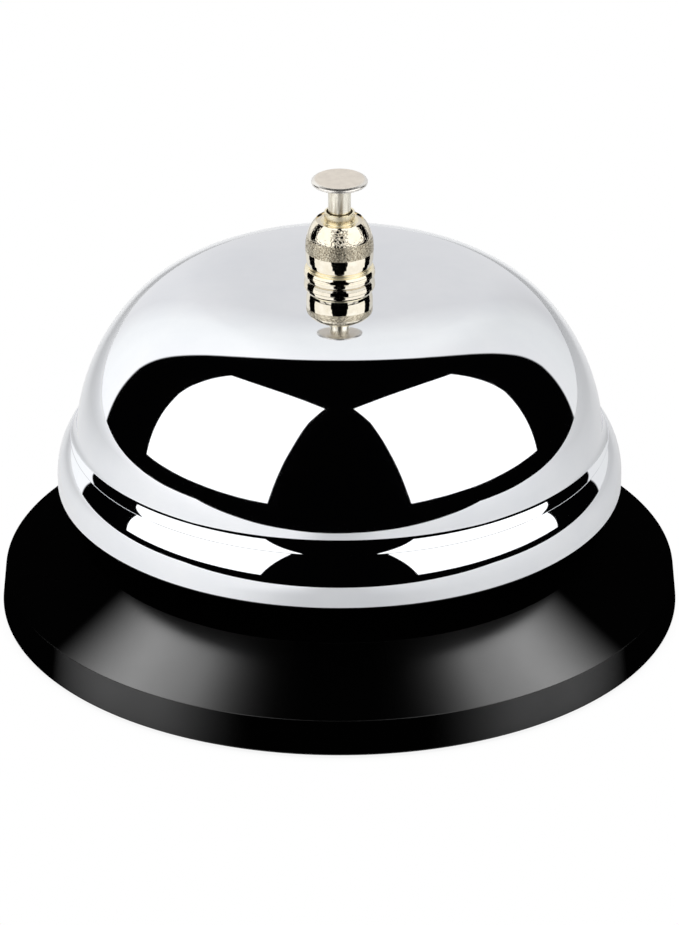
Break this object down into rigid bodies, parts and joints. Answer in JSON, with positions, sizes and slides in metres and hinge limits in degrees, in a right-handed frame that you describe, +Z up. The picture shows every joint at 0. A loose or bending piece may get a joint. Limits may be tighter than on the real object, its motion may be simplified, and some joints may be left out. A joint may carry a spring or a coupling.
{
  "type": "service bell",
  "caption": "Counter bell: chromed dome on a black base, with a sprung plunger that drives a hinged hammer inside the dome.",
  "frame": {"origin": "centre of the footprint, on the plane the feet rest on", "axes": "+Z up along the plunger; the striker swings in the XZ plane on the +X side"},
  "size_m": [0.085, 0.085, 0.0578],
  "materials": {
    "black_enamel": "gloss black stoved enamel",
    "black_plate": "satin black",
    "foot_rubber": "matt",
    "zinc_steel": "zinc plated, satin",
    "rivet_steel": "satin",
    "turned_steel": "turned",
    "red_fibre": "pressed fibre",
    "dome_chrome": "polished chrome",
    "warm_nickel": "polished warm nickel",
    "rod_nickel": "polished nickel",
    "button_nickel": "satin nickel face, polished edge",
    "turned_brass": "turned",
    "spring_steel": "dark spring steel",
    "spring_wire": "bright drawn wire",
    "lever_steel": "pressed steel"
  },
  "bodies": {
    "stand": {"base_shell": "black_enamel", "bottom_plate": "black_plate", "rubber_feet": "foot_rubber", "bridge": "zinc_steel", "bridge_rivets": "rivet_steel", "spindle": "turned_steel", "steel_washer": "zinc_steel", "fibre_washer": "red_fibre", "bell_dome": "dome_chrome", "top_washer": "warm_nickel", "cap_nut": "warm_nickel", "return_spring": "spring_wire", "pivot_pin": "turned_steel", "pivot_clip": "spring_steel"},
    "plunger": {"plunger_rod": "rod_nickel", "plunger_button": "button_nickel", "spool": "turned_brass", "spool_clip": "spring_steel"},
    "striker": {"striker_lever": "lever_steel", "hammer": "turned_brass"}
  },
  "joints": [
    {"name": "plunger_press", "type": "slide", "parent": "stand", "child": "plunger", "axis": [0, 0, -1], "range_m": [0, 0.0034], "stiffness_N_per_m": 400, "springref_m": -0.002, "deforming": ["return_spring"]},
    {"name": "striker_swing", "type": "hinge", "parent": "stand", "child": "striker", "pos_m": [0.006, 0, 0.0334], "axis": [0, -1, 0], "range_deg": [0, 33.2]}
  ],
  "couplings": [
    {"joint": "striker_swing", "follows": "plunger_press", "rad_per_m": 169}
  ]
}
